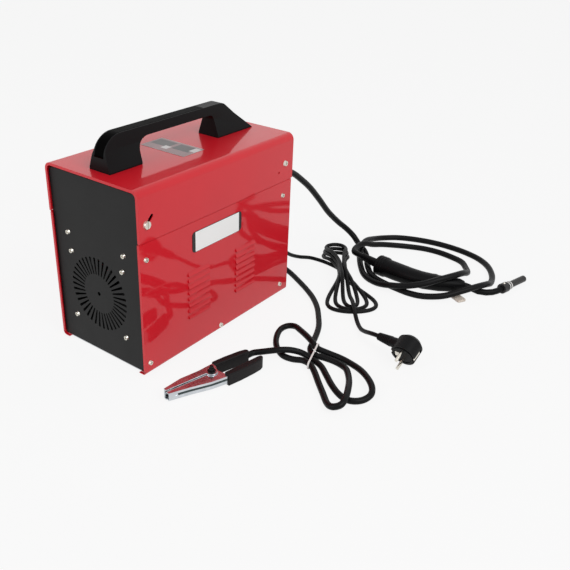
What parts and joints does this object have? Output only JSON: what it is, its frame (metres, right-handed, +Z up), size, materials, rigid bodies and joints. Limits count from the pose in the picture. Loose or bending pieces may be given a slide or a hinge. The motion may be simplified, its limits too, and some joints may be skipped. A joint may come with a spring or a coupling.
{
  "type": "mig welding machine",
  "caption": "Portable MIG welder: sheet metal case with hinged hood and carry handle, inner wire feeder and spool, torch on a coiled hose, mains lead with plug, earth clamp.",
  "frame": {"origin": "centre of the case's footprint, on the floor it stands on", "axes": "+Z up, +Y to the rear panel with the fan, -Y to the front panel with the controls, -X to the left side"},
  "size_m": [0.4993, 0.7119, 0.333],
  "materials": {
    "red_paint": "glossy red powder coat",
    "black_paint": "matt charcoal powder coat",
    "zinc": "zinc plated steel",
    "nickel": "bright nickel plate",
    "black_plastic": "satin black plastic",
    "black_rubber": "soft black rubber",
    "grey_plastic": "grey plastic",
    "red_plastic": "red plastic",
    "white_print": "printed film",
    "white_nylon": "white nylon",
    "amber_lens": "amber lens",
    "core_steel": "laminated core",
    "enamel_wire": "enamelled winding",
    "alloy": "bare aluminium",
    "brass": "brass",
    "board_green": "circuit board",
    "copper_wire": "copper coated steel wire"
  },
  "bodies": {
    "machine": {"base_tray": "zinc", "rubber_feet": "black_rubber", "side_panel_left": "red_paint", "side_panel_right": "red_paint", "rear_panel": "black_paint", "front_panel": "black_paint", "mid_deck": "zinc", "case_screws": "nickel", "fan_frame": "black_plastic", "transformer_core": "core_steel", "transformer_windings": "enamel_wire", "rectifier_heatsink": "alloy", "rectifier_diodes": "brass", "control_board": "board_green", "hood_pivot_screws": "nickel", "name_plate": "white_print", "torch_gland": "black_plastic", "mains_gland": "black_plastic", "earth_gland": "black_plastic", "rocker_housings": "black_plastic", "speed_pot": "grey_plastic", "thermal_lamp": "amber_lens", "feeder_plate": "zinc", "feeder_motor": "grey_plastic", "spool_spindle": "zinc", "spool_nut": "black_plastic", "torch_lead": "black_rubber", "torch_coil": "black_rubber", "torch_shell_lower": "black_plastic", "torch_shell_upper": "black_plastic", "torch_neck": "black_plastic", "torch_nozzle": "alloy", "mains_lead": "black_rubber", "mains_hank": "black_rubber", "plug_body": "black_rubber", "plug_pins": "nickel", "earth_lead": "black_rubber", "earth_hank": "black_rubber", "cable_tie": "white_nylon", "clamp_fixed_jaw": "zinc", "clamp_fixed_grip": "black_rubber", "clamp_pin": "core_steel", "clamp_spring": "core_steel"},
    "hood_assembly": {"hood": "red_paint", "carry_handle": "black_plastic", "handle_screws": "nickel", "latch_screws": "nickel", "info_sticker": "white_print"},
    "fan_rotor": {"fan_impeller": "black_plastic"},
    "power_switch": {"power_rocker": "red_plastic"},
    "range_switch": {"range_rocker": "black_plastic"},
    "knob": {"speed_knob": "black_plastic"},
    "feed_roller": {"drive_roller": "brass"},
    "idler_arm": {"pressure_arm": "zinc"},
    "idler_roller": {"pressure_roller": "brass"},
    "spool": {"wire_spool": "black_plastic", "wire_winding": "copper_wire"},
    "trigger": {"torch_trigger": "black_plastic"},
    "clamp_jaw": {"clamp_moving_jaw": "zinc", "clamp_moving_grip": "black_rubber"}
  },
  "joints": [
    {"name": "hood_hinge", "type": "hinge", "parent": "machine", "child": "hood_assembly", "pos_m": [0, -0.1495, 0.23962], "axis": [1, 0, 0], "range_deg": [0, 90]},
    {"name": "fan_spin", "type": "hinge", "parent": "machine", "child": "fan_rotor", "pos_m": [0.0028, 0.14, 0.104], "axis": [0, 1, 0], "continuous": true},
    {"name": "power_rocker_tilt", "type": "hinge", "parent": "machine", "child": "power_switch", "pos_m": [0.05, -0.161, 0.15], "axis": [1, 0, 0], "range_deg": [0, 18]},
    {"name": "range_rocker_tilt", "type": "hinge", "parent": "machine", "child": "range_switch", "pos_m": [0.05, -0.161, 0.1], "axis": [1, 0, 0], "range_deg": [0, 18]},
    {"name": "speed_knob_turn", "type": "hinge", "parent": "machine", "child": "knob", "pos_m": [0.04, -0.17, 0.23], "axis": [0, -1, 0], "range_deg": [0, 270]},
    {"name": "drive_roller_spin", "type": "hinge", "parent": "machine", "child": "feed_roller", "pos_m": [-0.05, -0.1, 0.1883], "axis": [1, 0, 0], "continuous": true},
    {"name": "pressure_arm_lift", "type": "hinge", "parent": "machine", "child": "idler_arm", "pos_m": [-0.042, -0.072, 0.216], "axis": [-1, 0, 0], "range_deg": [0, 30]},
    {"name": "pressure_roller_spin", "type": "hinge", "parent": "idler_arm", "child": "idler_roller", "pos_m": [-0.05, -0.1, 0.2117], "axis": [1, 0, 0], "continuous": true},
    {"name": "spool_spin", "type": "hinge", "parent": "machine", "child": "spool", "pos_m": [-0.05, 0.07, 0.225], "axis": [1, 0, 0], "continuous": true},
    {"name": "trigger_squeeze", "type": "hinge", "parent": "machine", "child": "trigger", "pos_m": [-0.222, -0.3397, 0.017], "axis": [0, 0, -1], "range_deg": [0, 5], "stiffness_Nm_per_rad": 0.4, "springref_deg": -5.73},
    {"name": "clamp_open", "type": "hinge", "parent": "machine", "child": "clamp_jaw", "pos_m": [-0.165, 0.115, 0.01], "axis": [0, 0, 1], "range_deg": [0, 12], "stiffness_Nm_per_rad": 3, "springref_deg": -11.46}
  ],
  "couplings": [
    {"joint": "pressure_roller_spin", "follows": "drive_roller_spin", "ratio": -1.2},
    {"joint": "spool_spin", "follows": "drive_roller_spin", "ratio": -0.28}
  ]
}
